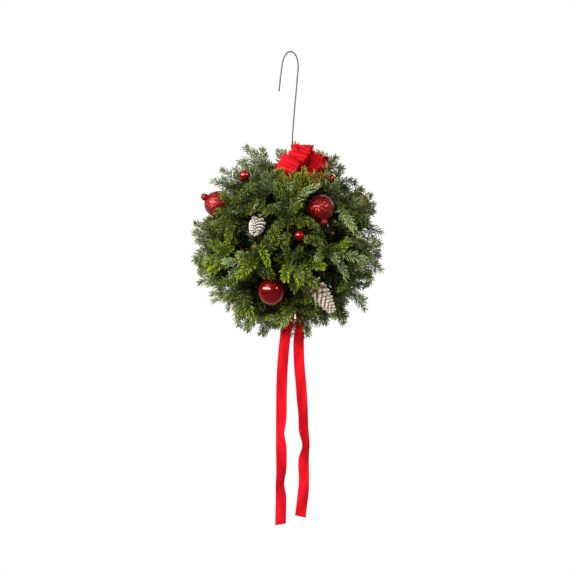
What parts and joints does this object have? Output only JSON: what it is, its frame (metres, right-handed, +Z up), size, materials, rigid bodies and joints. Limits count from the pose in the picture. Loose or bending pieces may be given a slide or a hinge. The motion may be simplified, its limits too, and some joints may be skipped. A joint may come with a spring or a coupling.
{
  "type": "kissing ball",
  "caption": "Hanging ball of cut fir sprays in a foam core, with glittered and shiny red baubles, whitewashed cones, a red ribbon bow and two ribbon tails, on a wire hook",
  "frame": {"origin": "under the crown of the hook, where the object hangs on a nail or a peg", "axes": "+Z up, the front with the bow faces -Y, +X to the right seen from the front"},
  "size_m": [0.4078, 0.4022, 1.0398],
  "materials": {
    "fir": "live fir needles: dark to yellow green above, pale green below, with brown twigs and orange-brown buds",
    "foam": "wet floral foam, dark green and matte",
    "glitter_red": "hollow plastic ball covered with red glitter",
    "shiny_red": "hollow plastic ball with a shiny red metallic lacquer",
    "cone": "dry brown cone scales with a matte whitewash on their ends",
    "ribbon": "red polyester ribbon, matte with a soft sheen",
    "wire": "galvanised steel wire, dull grey"
  },
  "bodies": {
    "root": {"bow": "ribbon", "bow_wire": "wire", "fir_spray_01": "fir", "fir_spray_02": "fir", "fir_spray_03": "fir", "fir_spray_04": "fir", "fir_spray_05": "fir", "fir_spray_06": "fir", "fir_spray_07": "fir", "fir_spray_08": "fir", "fir_spray_09": "fir", "fir_spray_10": "fir", "fir_spray_11": "fir", "fir_spray_12": "fir", "fir_spray_13": "fir", "fir_spray_14": "fir", "fir_spray_15": "fir", "fir_spray_16": "fir", "fir_spray_17": "fir", "fir_spray_18": "fir", "fir_spray_19": "fir", "fir_spray_20": "fir", "fir_spray_21": "fir", "fir_spray_22": "fir", "fir_spray_23": "fir", "fir_spray_24": "fir", "fir_spray_25": "fir", "fir_spray_26": "fir", "fir_spray_27": "fir", "fir_spray_28": "fir", "fir_spray_29": "fir", "fir_spray_30": "fir", "fir_spray_31": "fir", "fir_spray_32": "fir", "fir_spray_33": "fir", "fir_spray_34": "fir", "fir_spray_35": "fir", "fir_spray_36": "fir", "fir_spray_37": "fir", "fir_spray_38": "fir", "foam_core": "foam", "glitter_bauble_back": "glitter_red", "glitter_bauble_front": "glitter_red", "glitter_bauble_left": "glitter_red", "hanger_wire": "wire", "large_cone_back": "cone", "large_cone_front": "cone", "mini_bauble_back_left": "shiny_red", "mini_bauble_back_right": "shiny_red", "mini_bauble_back_top": "shiny_red", "mini_bauble_front": "shiny_red", "mini_bauble_upper_left": "shiny_red", "mini_bauble_upper_right": "shiny_red", "shiny_bauble_back": "shiny_red", "shiny_bauble_front": "shiny_red", "shiny_bauble_right": "shiny_red", "small_cone_back": "cone", "small_cone_front": "cone", "tail_ribbon": "ribbon"}
  },
  "joints": []
}
